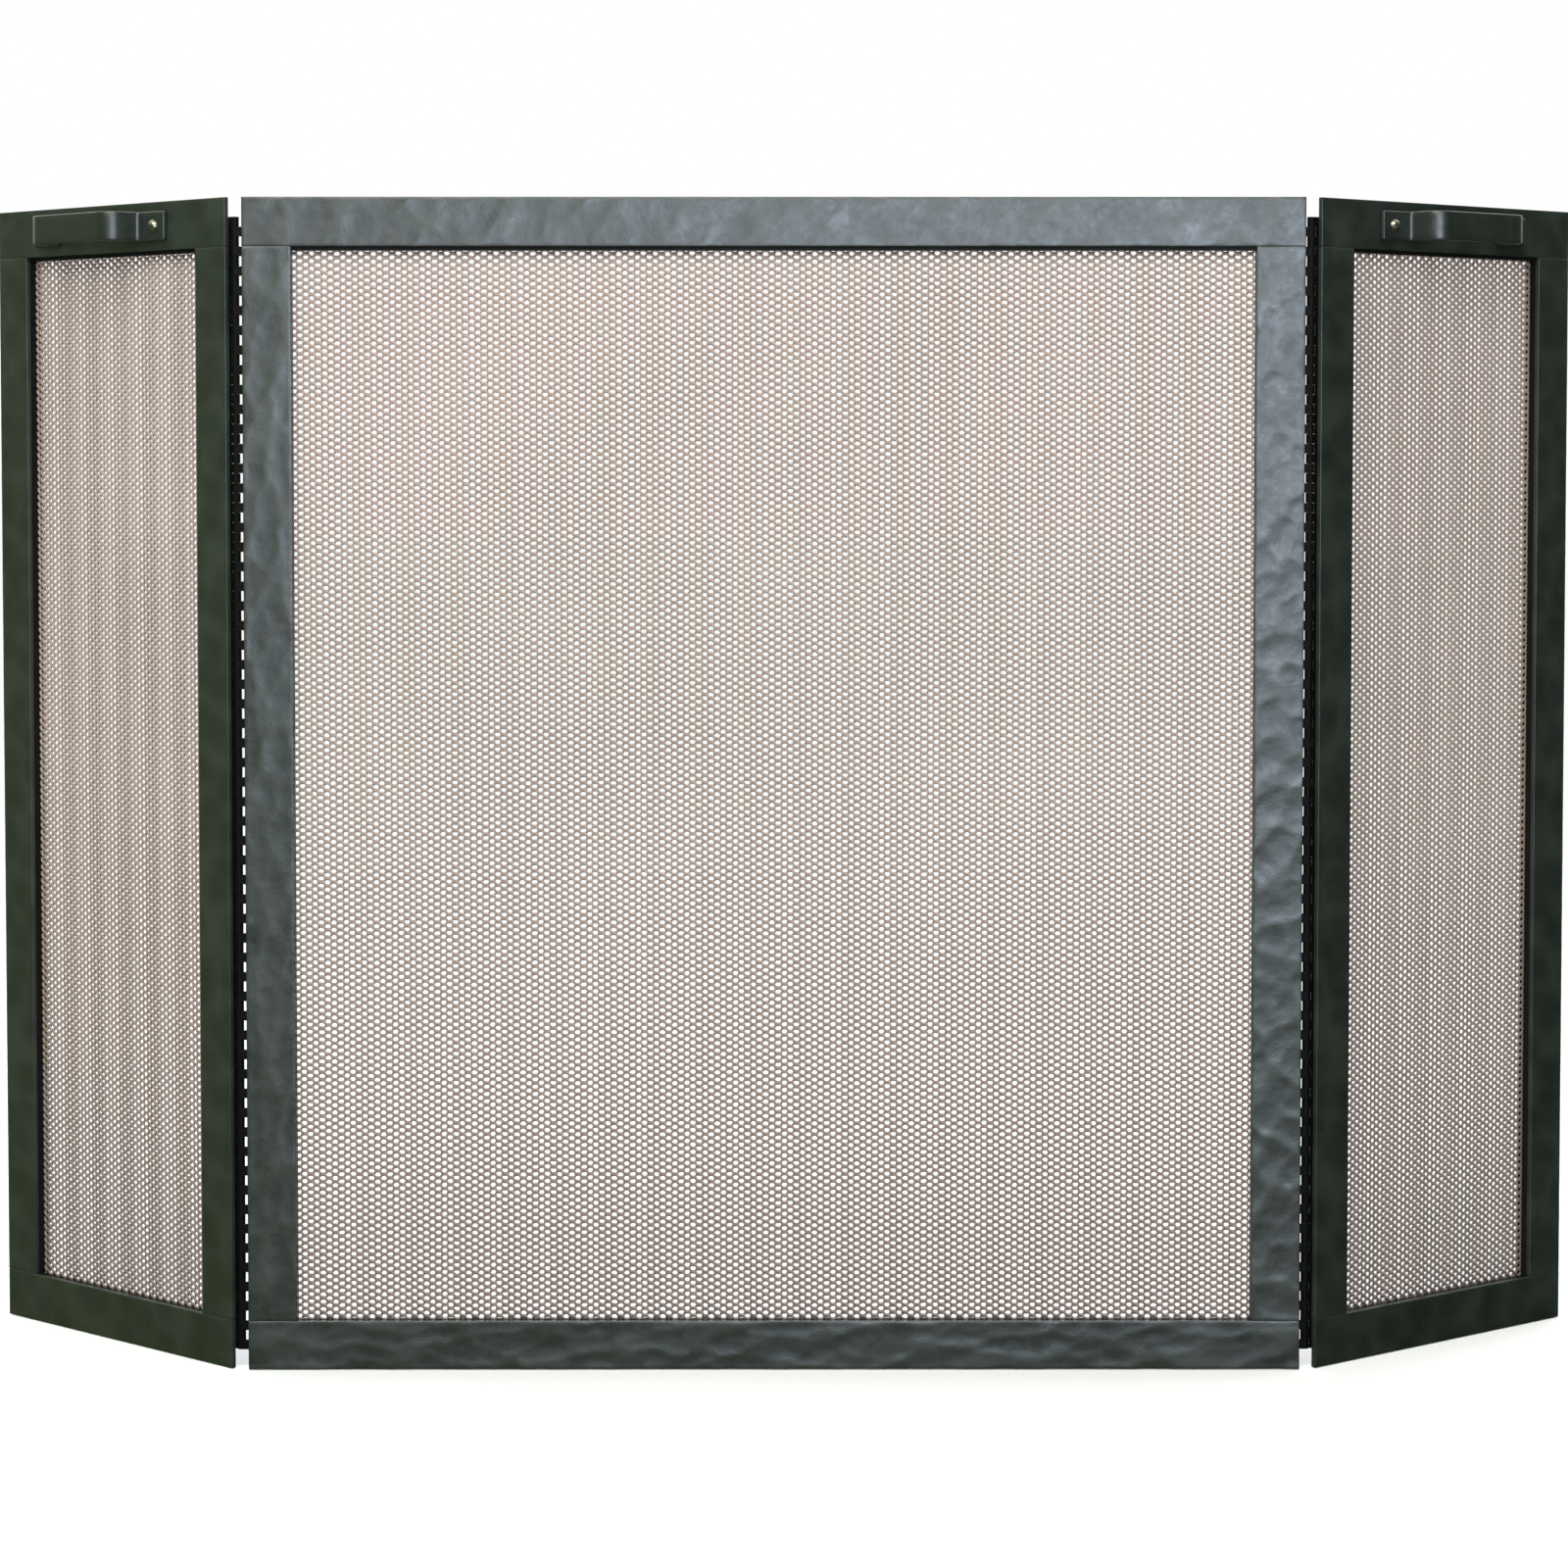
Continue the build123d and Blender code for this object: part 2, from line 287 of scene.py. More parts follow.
# %% [markdown]
# ## Black steel
# The hinges, the bars behind the frame and the strips that clamp the mesh
# are plain rolled steel in black paint. It is nearly colourless, and a
# little uneven in shine where the brush or the spray went on thinner. Deep
# in the frame it is dull and swallows light, and only the strips, which are
# wiped with the mesh, have a satin shine.

# %% Black paints
BLACK_CLOUD = 18 * MM
BAR_TONES = ("#0c0d0b", "#161715")
BAR_ROUGHNESS = (0.45, 0.62)
SHEET_TONES = ("#040404", "#090908")
SHEET_ROUGHNESS = (0.5, 0.68)
DULL_SHINE = 0.08
SATIN_SHINE = 0.3


def black_paint(name, tones, roughness, shine):
    """A black paint between two tones and two roughnesses, with a level of shine."""
    material, tree, shader, where = new_material(name)
    cloud = noise(tree, where, BLACK_CLOUD, detail=4.0, roughness=0.6)
    tone = blend(tree, cloud, *[linear(t) for t in tones])
    gloss = spread(tree, cloud, *roughness)
    feed(tree, shader, {"Base Color": tone, "Roughness": gloss, "Specular IOR Level": shine})
    return material


# brushed on the backing bars it is a flat black, and on the hinge sheet deeper still
backing_steel = black_paint("dull_black_paint_on_flat_bar", BAR_TONES, BAR_ROUGHNESS, DULL_SHINE)
hinge_steel = black_paint("dull_black_paint_on_rolled_sheet", SHEET_TONES, SHEET_ROUGHNESS, DULL_SHINE)
# rubbed smoother on the strips, it shows soft reflections
strip_steel = black_paint("satin_black_paint_on_strip", BAR_TONES, BAR_ROUGHNESS, SATIN_SHINE)
print("made", backing_steel.name, hinge_steel.name, strip_steel.name)

# %% [markdown]
# ## Wire and screws
# The spark mesh is bare steel wire, dulled to a warm grey by handling and
# heat, so little of the bright metal is left and the shader is mostly not
# metallic. Large soft smudges keep it from looking like new stock. Towards the
# hearth the wire is painted darker, a painted shade for the dimmer light low
# down. The screws are turned steel that has browned a little, still bright
# where the tarnish is thin.

# %% Wire and screw steel
SMUDGE = 150 * MM
# heights above the floor between which the painted shade on the wire fades out
PAINTED_SHADE_LOW = 30 * MM
PAINTED_SHADE_HIGH = 420 * MM
WIRE_METAL = 0.2
WIRE_ROUGHNESS = 0.55
TARNISH = 1.4 * MM
SCREW_ROUGHNESS = (0.28, 0.45)

# oxidised drawn wire: a warm matt grey, a touch lighter or darker from place to place
wire_steel, tree, shader, where = new_material("dulled_bare_steel_wire")
smudge = noise(tree, where, SMUDGE, detail=2.0, roughness=0.5)
wire_before_painted_shade = blend(tree, smudge, linear("#918179"), linear("#ac9b94"))
# painted shade: the wire tone is darker low down and fades to the smudged grey higher up
height = add_node(tree, "ShaderNodeSeparateXYZ", {0: where}).outputs["Z"]
above_painted_shade = fade(tree, height, PAINTED_SHADE_LOW, PAINTED_SHADE_HIGH, "SMOOTHSTEP")
wire_tone = blend(tree, above_painted_shade, linear("#887a74"), wire_before_painted_shade)
feed(tree, shader, {"Base Color": wire_tone, "Metallic": WIRE_METAL, "Roughness": WIRE_ROUGHNESS})

# turned steel: bright metal under a thin brown film, seen as specks
screw_steel, tree, shader, where = new_material("browned_turned_steel")
tarnish = noise(tree, where, TARNISH, detail=3.0, roughness=0.6)
screw_tone = blend(tree, tarnish, linear("#6f6a5c"), linear("#a9a596"))
screw_gloss = spread(tree, tarnish, *SCREW_ROUGHNESS)
feed(tree, shader, {"Base Color": screw_tone, "Metallic": 1.0, "Roughness": screw_gloss})
print("made", wire_steel.name, "and", screw_steel.name)

# %% [markdown]
# ## Carried-over pieces
# Hinge leaves, pins, backing bars, retainer strips, screws and nuts already
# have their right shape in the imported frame. They only change material.

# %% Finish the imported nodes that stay
FINISH_BY_ENDING = {
    "_backing": backing_steel,
    "_retainer": strip_steel,
    "_leaf": hinge_steel,
    "_pin": hinge_steel,
    "_screws": screw_steel,
    "_nuts": screw_steel,
}
finished = 0
for name, node in frame["nodes"].items():
    for ending, material in FINISH_BY_ENDING.items():
        if name.endswith(ending):
            node.data.materials.clear()
            node.data.materials.append(material)
            finished += 1
print("finished nodes:", finished)

# %% [markdown]
# ## A bar with softened edges
# A bar is a section drawn along a line: flat at the back, rounded along the
# front edges and at both ends. A plain box with a bevel would do for a new
# bar, but here the front needs rows of points close together, for the hammer
# to move. So the section is drawn point by point.

# %% The section of a bar
ROUND_STEPS = 3
LEAST_ROUND = 0.1 * MM


def rounding(radius):
    """(run along the end, inset of the section) down a quarter round."""
    angles = [math.pi / 2 * i / ROUND_STEPS for i in range(ROUND_STEPS + 1)]
    return [(radius * (1 - math.cos(a)), radius * (1 - math.sin(a))) for a in angles]


def section(width, thick, radius, inset, columns, round_back):
    """Points (across, out) round a bar's section, drawn in by an inset at its ends."""
    half = width / 2 - inset
    top = thick - inset
    foot = inset if round_back else 0.0
    ease = max(radius - inset, LEAST_ROUND)
    corner = rounding(ease)
    side = [(-half + a, top - b) for a, b in corner]
    if round_back:
        side = [(-half + a, foot + b) for a, b in reversed(corner)] + side
    else:
        side = [(-half, foot)] + side
    inner = [(-half + ease) + (2 * half - 2 * ease) * i / columns for i in range(1, columns)]
    front = [(a, top) for a in inner]
    return side + front + [(-a, b) for a, b in reversed(side)]


print("a rounded edge has", ROUND_STEPS, "steps")

# %% [markdown]
# The section is then swept by hand, station by station. A station is a place
# on the back of the bar with the directions across it and out of it, and how
# far the section is drawn in there, which rounds the ends.


# %% Sweep a bar along its stations
def swept_bar(name, stations, width, thick, radius, columns, round_back=False):
    """A closed mesh of a bar. Stations are (place, across, out, inset)."""
    shape = bmesh.new()
    loops = []
    for place, across, out, inset in stations:
        points = section(width, thick, radius, inset, columns, round_back)
        loops.append([shape.verts.new(place + across * a + out * b) for a, b in points])
    count = len(loops[0])
    for one, two in zip(loops, loops[1:]):
        for i in range(count):
            j = (i + 1) % count
            shape.faces.new((one[i], one[j], two[j], two[i]))
    shape.faces.new(loops[0])
    shape.faces.new(loops[-1])
    bmesh.ops.recalc_face_normals(shape, faces=shape.faces)
    mesh = bpy.data.meshes.new(name)
    shape.to_mesh(mesh)
    shape.free()
    return mesh


def straight_stations(start, end, across, out, spacing, radius):
    """Stations along a straight bar, close together where its ends are rounded."""
    along = (end - start).normalized()
    length = (end - start).length
    ends = rounding(radius)
    middle = max(1, round((length - 2 * radius) / spacing))
    runs = ends + [(radius + (length - 2 * radius) * i / middle, 0.0) for i in range(1, middle)]
    runs += [(length - run, inset) for run, inset in reversed(ends)]
    return [(start + along * run, across, out, inset) for run, inset in runs]


print("a rounded end has", len(rounding(1.0)), "stations")

# %% [markdown]
# ## Hammer blows
# A hammered face is a field of shallow dishes that meet in ridges. That is a
# Voronoi pattern: the distance to the nearest blow, squared, is a dish. The
# Geometry Nodes tree below starts with that distance. Blows can be long or
# round and can lean, because each bar was worked in its own way, and a slow
# noise makes them wander, so that no row of equal cells shows. The trees
# here have named inputs, and one function makes them.


# %% The hammer tree: how far from a blow
def new_tree(name, sockets):
    """An empty Geometry Nodes tree with named inputs, and its two end nodes."""
    tree = bpy.data.node_groups.new(name, "GeometryNodeTree")
    tree.is_modifier = True
    for label, kind in sockets:
        tree.interface.new_socket(label, in_out="INPUT", socket_type="NodeSocket" + kind)
    tree.interface.new_socket("Geometry", in_out="OUTPUT", socket_type="NodeSocketGeometry")
    return tree, tree.nodes.new("NodeGroupInput").outputs, tree.nodes.new("NodeGroupOutput")


WANDER_SIZE = 22 * MM
RIDGE_SOFTNESS = 0.22
HAMMER_INPUTS = [
    ("Geometry", "Geometry"),
    ("Blow Size", "Vector"),
    ("Lean", "Float"),
    ("Depth", "Float"),
    ("Wander", "Float"),
    ("Unevenness", "Float"),
    ("Seed", "Float"),
    ("Finish", "Material"),
]
hammer, given, result = new_tree("Hammer blows", HAMMER_INPUTS)
spot = add_node(hammer, "GeometryNodeInputPosition").outputs[0]
spot_parts = add_node(hammer, "ShaderNodeSeparateXYZ", {0: spot}).outputs
flat_spot = xyz(hammer, X=spot_parts["X"], Y=spot_parts["Z"])
wander = add_node(
    hammer,
    "ShaderNodeTexNoise",
    {"Vector": flat_spot, "Scale": 1 / WANDER_SIZE, "Detail": 1.0},
)
either_way = vector_maths(hammer, "SUBTRACT", wander.outputs["Color"], (NOISE_MIDDLE,) * 3)
wandering = add_node(
    hammer,
    "ShaderNodeVectorMath",
    {0: either_way, "Scale": given["Wander"]},
    operation="SCALE",
)
strayed = vector_maths(hammer, "ADD", flat_spot, wandering.outputs[0])
leaning = add_node(
    hammer,
    "ShaderNodeVectorRotate",
    {"Vector": strayed, "Angle": given["Lean"]},
    rotation_type="Z_AXIS",
)
in_blows = vector_maths(hammer, "DIVIDE", leaning.outputs[0], given["Blow Size"])
seeded = vector_maths(hammer, "ADD", in_blows, given["Seed"])
blows = add_node(
    hammer,
    "ShaderNodeTexVoronoi",
    {"Vector": seeded, "Scale": 1.0, "Smoothness": RIDGE_SOFTNESS},
    voronoi_dimensions="2D",
    feature="SMOOTH_F1",
)
print("nodes for the distance:", len(hammer.nodes))

# %% [markdown]
# The rest of the tree makes dishes of that distance and pushes the front of a
# bar back by them. A finer noise adds the shallow marks that mill scale leaves
# under the hammer. The height of the ridges is kept as an attribute for the
# paint.

# %% The hammer tree: dishes and ridges
SCALE_SIZE = 13 * MM
RIDGE_LEVEL = 0.45

distance = blows.outputs["Distance"]
dish = fade(hammer, maths(hammer, "MULTIPLY", distance, distance), 0.0, RIDGE_LEVEL)
hollow = maths(hammer, "SUBTRACT", 1.0, dish)
scale_marks = noise(hammer, flat_spot, SCALE_SIZE, detail=2.0, roughness=0.6)
scale_push = maths(hammer, "MULTIPLY", scale_marks, given["Unevenness"])
pushed = maths(hammer, "MULTIPLY_ADD", hollow, given["Depth"], scale_push)
show_face = add_node(
    hammer, "GeometryNodeInputNamedAttribute", {"Name": "show_face"}, data_type="FLOAT"
)
front_push = maths(hammer, "MULTIPLY", pushed, show_face.outputs[0])
kept = add_node(
    hammer,
    "GeometryNodeStoreNamedAttribute",
    {"Geometry": given["Geometry"], "Name": "ridge", "Value": dish},
    data_type="FLOAT",
    domain="POINT",
)
beaten = add_node(
    hammer,
    "GeometryNodeSetPosition",
    {"Geometry": kept.outputs[0], "Offset": xyz(hammer, Y=front_push)},
)
painted = add_node(
    hammer,
    "GeometryNodeSetMaterial",
    {"Geometry": beaten.outputs[0], "Material": given["Finish"]},
)
hammer.links.new(painted.outputs[0], result.inputs[0])
print("hammer nodes:", len(hammer.nodes))

# %% [markdown]
# ## From nodes to a plain piece
# A modifier holds the tree while it works. Its inputs are set by their
# identifiers before the object is first looked at, the result is read off as
# a plain mesh, and the holder goes. Then the mesh moves from the bench to its
# panel, the piece is told which body it rides on, and the nodes it stands for
# are hidden.


# %% Run a tree and place a piece
def grown(tree, values, mesh=None):
    """The plain mesh that a tree makes, from a mesh or from nothing."""
    holder = bpy.data.objects.new("holder", mesh or bpy.data.meshes.new("bench"))
    bpy.context.scene.collection.objects.link(holder)
    nodes = holder.modifiers.new("nodes", "NODES")
    nodes.node_group = tree
    for item in tree.interface.items_tree:
        if item.in_out == "INPUT" and item.name in values:
            nodes[item.identifier] = values[item.name]
    seen = holder.evaluated_get(bpy.context.evaluated_depsgraph_get())
    made = bpy.data.meshes.new_from_object(seen)
    holder.modifiers.remove(nodes)
    bpy.data.objects.remove(holder)
    return made


def smooth_but_edges(mesh, degrees):
    """Smooth shading, with creases kept where faces meet at more than the angle."""
    mesh.polygons.foreach_set("use_smooth", [True] * len(mesh.polygons))
    mesh.set_sharp_from_angle(angle=math.radians(degrees))


def put(mesh, name, side, slot, *nodes):
    """A finished piece on its panel, in place of the named nodes."""
    body, place = places[side]
    mesh.transform(place)
    mesh.name = name
    piece = bpy.data.objects.new(name, mesh)
    bpy.context.scene.collection.objects.link(piece)
    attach(piece, body)
    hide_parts(*nodes)
    return piece


print("bench ready")

# %% [markdown]
# ## The twelve face bars
# Each panel has two rails across and two stiles between them. A bar fills
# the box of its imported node, and it is swept along the longer way of that
# box.

# %% Stations of a face bar
BAR_EDGE = 0.45 * MM
STATION_SPACING = 1.9 * MM


def bar_stations(low, high):
    """Stations along the longer way of a bar's box, on its back face, and its width."""
    middle = (low + high) / 2
    out = Vector((0, -1, 0))
    if high.x - low.x > high.z - low.z:
        start = Vector((low.x, high.y, middle.z))
        end = Vector((high.x, high.y, middle.z))
        across = Vector((0, 0, 1))
        width = high.z - low.z
    else:
        start = Vector((middle.x, high.y, low.z))
        end = Vector((middle.x, high.y, high.z))
        across = Vector((1, 0, 0))
        width = high.x - low.x
    return straight_stations(start, end, across, out, STATION_SPACING, BAR_EDGE), width


print("stations every", STATION_SPACING / MM, "mm")

# %% [markdown]
# The top rail of the centre was struck in long leaning strokes, its bottom
# rail and left stile along their length, and the right stile with rounder
# blows. The wings were only dressed lightly and look almost flat.

# %% Hammered face bars
FRONT_COLUMNS = 17
# the hammer moves what lies this close to the front
SHOW_DEPTH = 1.5 * BAR_EDGE
CREASE_ANGLE = 50
BAR_SEED_STEP = 7.3

# blow size sideways, blow size upwards, lean, depth, wander, unevenness: in mm, the lean in degrees
BLOWS = {
    "centre_top_rail": (44, 17, -52, 0.45, 16, 0.6),
    "centre_bottom_rail": (34, 11, -6, 0.5, 14, 0.5),
    "centre_left_stile": (13, 30, 8, 0.4, 14, 0.5),
    "centre_right_stile": (17, 20, 25, 0.62, 14, 0.75),
}
WING_BLOWS = (26, 22, 20, 0.08, 10, 0.16)

bar_faces = 0
bar_names = [n for n in sorted(frame["nodes"]) if n.endswith(("_rail", "_stile"))]
for seed, name in enumerate(bar_names):
    side = name.split("_")[0]
    low, high = bench_box(name, places[side][1])
    stations, width = bar_stations(low, high)
    flat = swept_bar(name, stations, width, high.y - low.y, BAR_EDGE, FRONT_COLUMNS)
    weight = flat.attributes.new("show_face", "FLOAT", "POINT")
    front_level = low.y + SHOW_DEPTH
    weight.data.foreach_set("value", [float(v.co.y < front_level) for v in flat.vertices])
    sideways, upwards, lean, depth, stray, rough = BLOWS.get(name, WING_BLOWS)
    values = {
        "Blow Size": (sideways * MM, upwards * MM, 1.0),
        "Lean": math.radians(lean),
        "Depth": depth * MM,
        "Wander": stray * MM,
        "Unevenness": rough * MM,
        "Seed": BAR_SEED_STEP * seed,
        "Finish": enamel,
    }
    beaten_bar = grown(hammer, values, flat)
    smooth_but_edges(beaten_bar, CREASE_ANGLE)
    put(beaten_bar, name + "_hammered", side, "hammered_steel", name)
    bar_faces += len(beaten_bar.polygons)
print("face bars:", len(bar_names), "faces:", bar_faces)

# %% [markdown]
# ## The pull handles
# Each wing has a strap bent up from flat bar: a foot, a leg, the raised grip,
# a leg and a foot. It is the same sweep, along a line with rounded corners.

# %% A line with rounded corners
STRAP_SPACING = 4.0 * MM
ARC_STEPS = 10


def rounded_line(corners, bends):
    """Points (place, direction) along a line whose inner corners are arcs."""
    stops = [corners[0]]
    path = []
    for before, here, after, bend in zip(corners, corners[1:], corners[2:], bends):
        one = (here - before).normalized()
        two = (after - here).normalized()
        turn = one.angle_signed(two)
        reach = bend * math.tan(abs(turn) / 2)
        start = here - one * reach
        straight = max(1, round((start - stops[-1]).length / STRAP_SPACING))
        path += [(stops[-1].lerp(start, i / straight), one) for i in range(straight)]
        side = Vector((-one.y, one.x)) * (-1 if turn > 0 else 1)
        hub = start + side * bend
        for i in range(ARC_STEPS):
            spin = Matrix.Rotation(-turn * i / ARC_STEPS, 2)
            path.append((hub + spin @ (start - hub), spin @ one))
        stops.append(here + two * reach)
    last = (corners[-1] - corners[-2]).normalized()
    straight = max(1, round((corners[-1] - stops[-1]).length / STRAP_SPACING))
    path += [(stops[-1].lerp(corners[-1], i / straight), last) for i in range(straight + 1)]
    return path


print("a bend has", ARC_STEPS, "steps")

# %% [markdown]
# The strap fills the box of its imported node. Its edges are eased, front and
# back, where a hand goes, and they catch the light.

# %% Bent straps
STRAP_WIDTH = 19.05 * MM
STRAP_THICK = 3.2 * MM
STRAP_EDGE = 0.8 * MM
STRAP_COLUMNS = 6
GRIP_SPAN = 92.0 * MM
# bends of the strap's middle line
FOOT_BEND = 4.6 * MM
GRIP_BEND = 9.6 * MM


def strap_stations(low, high):
    """Stations of a strap that fills its node's box, with rounded ends."""
    middle = (low.x + high.x) / 2
    half_length = (high.x - low.x) / 2
    half_grip = GRIP_SPAN / 2 - STRAP_THICK / 2
    foot_y = high.y - STRAP_THICK / 2
    grip_y = low.y + STRAP_THICK / 2
    outline = [
        (-half_length, foot_y),
        (-half_grip, foot_y),
        (-half_grip, grip_y),
        (half_grip, grip_y),
        (half_grip, foot_y),
        (half_length, foot_y),
    ]
    corners = [Vector((middle + x, y)) for x, y in outline]
    path = rounded_line(corners, (FOOT_BEND, GRIP_BEND, GRIP_BEND, FOOT_BEND))
    up = Vector((0, 0, 1))
    stations = []
    for spot, along in path:
        out = Vector((along.y, -along.x, 0))
        back = Vector((spot.x, spot.y, (low.z + high.z) / 2)) - out * STRAP_THICK / 2
        stations.append((back, up, out, 0.0))
    first, last = stations[0], stations[-1]
    along = Vector((1, 0, 0))
    ends = rounding(STRAP_EDGE)
    head = [(first[0] + along * run, up, first[2], inset) for run, inset in ends]
    tail = [(last[0] - along * run, up, last[2], inset) for run, inset in reversed(ends)]
    return head + stations[1:-1] + tail


for side in ("left", "right"):
    name = side + "_handle"
    low, high = bench_box(name, places[side][1])
    stations = strap_stations(low, high)
    strap = swept_bar(
        name, stations, STRAP_WIDTH, STRAP_THICK, STRAP_EDGE, STRAP_COLUMNS, round_back=True
    )
    strap.materials.append(enamel)
    smooth_but_edges(strap, CREASE_ANGLE)
    piece = put(strap, name + "_strap", side, "hammered_steel", name)
    print(piece.name, "faces:", len(strap.polygons))

# %% [markdown]
# ## The woven mesh
# Spark mesh is made of flattened wire coils that run across the panel. Every
# coil is threaded through the one below, half a turn along, so its crests
# hook over its neighbour's troughs. One coil is a line of points, six to a
# turn, moved by a sine and a cosine, with a round of wire drawn along it.

# %% The weave tree: one coil
POINTS_PER_TURN = 6
WIRE_SIDES = 3

WEAVE_INPUTS = [
    ("Turns", "Int"),
    ("Rows", "Int"),
    ("Start", "Vector"),
    ("Pitch", "Float"),
    ("Row Step", "Float"),
    ("Swing", "Vector"),
    ("Wire Radius", "Float"),
    ("Unevenness", "Float"),
    ("Seed", "Float"),
    ("Finish", "Material"),
]
weave, given, result = new_tree("Coil-woven mesh", WEAVE_INPUTS)
number = add_node(weave, "GeometryNodeInputIndex").outputs[0]
points = maths(weave, "MULTIPLY_ADD", given["Turns"], POINTS_PER_TURN, 1.0)
step = maths(weave, "MULTIPLY", given["Pitch"], 1 / POINTS_PER_TURN)
line = add_node(weave, "GeometryNodeMeshLine", {"Count": points, "Offset": xyz(weave, X=step)})
turn_step = 2 * math.pi / POINTS_PER_TURN
phase = maths(weave, "MULTIPLY_ADD", number, turn_step, -turn_step / 2)
sine = maths(weave, "SINE", phase)
cosine = maths(weave, "COSINE", phase)
dwell = maths(weave, "MULTIPLY", sine, cosine)
swung = vector_maths(weave, "MULTIPLY", xyz(weave, X=dwell, Y=sine, Z=cosine), given["Swing"])
coiled = add_node(
    weave, "GeometryNodeSetPosition", {"Geometry": line.outputs[0], "Offset": swung}
)
coil_line = add_node(weave, "GeometryNodeMeshToCurve", {"Mesh": coiled.outputs[0]})
wire_round = add_node(
    weave,
    "GeometryNodeCurvePrimitiveCircle",
    {"Resolution": WIRE_SIDES, "Radius": given["Wire Radius"]},
)
wire = add_node(
    weave,
    "GeometryNodeCurveToMesh",
    {"Curve": coil_line.outputs[0], "Profile Curve": wire_round.outputs[0], "Fill Caps": True},
)
print("nodes for one coil:", len(weave.nodes))

# %% [markdown]
# The rest of the tree repeats the coil row by row, every second row half a
# turn along, and stretches the rows sideways a little, because real mesh is
# never quite even and shows faint upright bands.

# %% The weave tree: rows and bands
BAND_WIDTH = 26 * MM

rows = add_node(
    weave,
    "GeometryNodeMeshLine",
    {
        "Count": given["Rows"],
        "Start Location": given["Start"],
        "Offset": xyz(weave, Z=given["Row Step"]),
    },
)
odd = maths(weave, "MODULO", number, 2.0)
full_shift = maths(weave, "MULTIPLY", odd, given["Pitch"])
half_turn = maths(weave, "MULTIPLY", full_shift, 0.5)
staggered = add_node(
    weave,
    "GeometryNodeSetPosition",
    {"Geometry": rows.outputs[0], "Offset": xyz(weave, X=half_turn)},
)
threaded = add_node(
    weave,
    "GeometryNodeInstanceOnPoints",
    {"Points": staggered.outputs[0], "Instance": wire.outputs[0]},
)
whole = add_node(weave, "GeometryNodeRealizeInstances", {"Geometry": threaded.outputs[0]})
spot = add_node(weave, "GeometryNodeInputPosition").outputs[0]
across_panel = add_node(weave, "ShaderNodeSeparateXYZ", {0: spot}).outputs["X"]
band_place = maths(weave, "MULTIPLY_ADD", across_panel, 1 / BAND_WIDTH, given["Seed"])
band = add_node(
    weave,
    "ShaderNodeTexNoise",
    {"W": band_place, "Scale": 1.0, "Detail": 2.0},
    noise_dimensions="1D",
)
either_way = maths(weave, "SUBTRACT", band.outputs[0], NOISE_MIDDLE)
band_shift = maths(weave, "MULTIPLY", either_way, given["Unevenness"])
banded = add_node(
    weave,
    "GeometryNodeSetPosition",
    {"Geometry": whole.outputs[0], "Offset": xyz(weave, X=band_shift)},
)
round_look = add_node(weave, "GeometryNodeSetShadeSmooth", {"Geometry": banded.outputs[0]})
finish = add_node(
    weave,
    "GeometryNodeSetMaterial",
    {"Geometry": round_look.outputs[0], "Material": given["Finish"]},
)
weave.links.new(finish.outputs[0], result.inputs[0])
print("weave nodes:", len(weave.nodes))

# %% [markdown]
# The photograph gives the spacing: a hole every 3.96 mm along a row, which is
# half a turn, and every 4.79 mm up a column, which is two rows. The wire
# shows about 1.6 mm wide. A three-sided wire keeps the net light, and its
# radius is larger than half that width, because a triangle is narrower than
# the circle round it. A panel is cut into bands of rows so that no piece
# grows too heavy.

# %% Weave the three panels
PITCH = 7.92 * MM
ROW_STEP = 2.395 * MM
RISE = 1.7 * MM
DEPTH = 0.36 * MM
DWELL = 0.5 * MM
# six points to a turn miss the crest of the cosine by this share
CREST_SHARE = math.cos(math.pi / POINTS_PER_TURN)
WIRE_RADIUS = 1.02 * MM
UNEVENNESS = 1.3 * MM
EDGE_ROOM = 2.4 * MM
BANDS = {"centre": 5, "left": 2, "right": 2}
PANEL_SEED_STEP = 11.7

for panel_number, (side, bands) in enumerate(BANDS.items()):
    node = "centre_mesh" if side == "centre" else side + "_wing_mesh"
    low, high = bench_box(node, places[side][1])
    turns = int((high.x - low.x - PITCH / 2 - EDGE_ROOM) / PITCH)
    rows_in_all = int((high.z - low.z - 2 * EDGE_ROOM) / ROW_STEP)
    first_x = (low.x + high.x - (turns + 0.5) * PITCH) / 2
    first_z = (low.z + high.z - (rows_in_all - 1) * ROW_STEP) / 2
    # an even number of rows, so that the next band starts in step
    per_band = 2 * math.ceil(rows_in_all / bands / 2)
    for band_number in range(bands):
        done = band_number * per_band
        values = {
            "Turns": turns,
            "Rows": min(per_band, rows_in_all - done),
            "Start": (first_x, (low.y + high.y) / 2, first_z + done * ROW_STEP),
            "Pitch": PITCH,
            "Row Step": ROW_STEP,
            "Swing": (DWELL, -DEPTH, RISE / CREST_SHARE),
            "Wire Radius": WIRE_RADIUS,
            "Unevenness": UNEVENNESS,
            "Seed": PANEL_SEED_STEP * panel_number,
            "Finish": wire_steel,
        }
        net = grown(weave, values)
        name = f"{node}_weave_{band_number + 1}"
        put(net, name, side, "mesh_wire", node)
        net.calc_loop_triangles()
        print(name, "rows:", values["Rows"], "triangles:", len(net.loop_triangles))

# %% [markdown]
# ## The floor
# The photograph is a plain studio shot on white. A wide pale floor gives the
# screen something to stand on. It is kept out of reflections, so that the
# bars don't mirror it.

# %% Floor
# in metres
FLOOR_SIZE = 60.0
FLOOR_DROP = 0.5 * MM
FLOOR_ROUGHNESS = 0.9

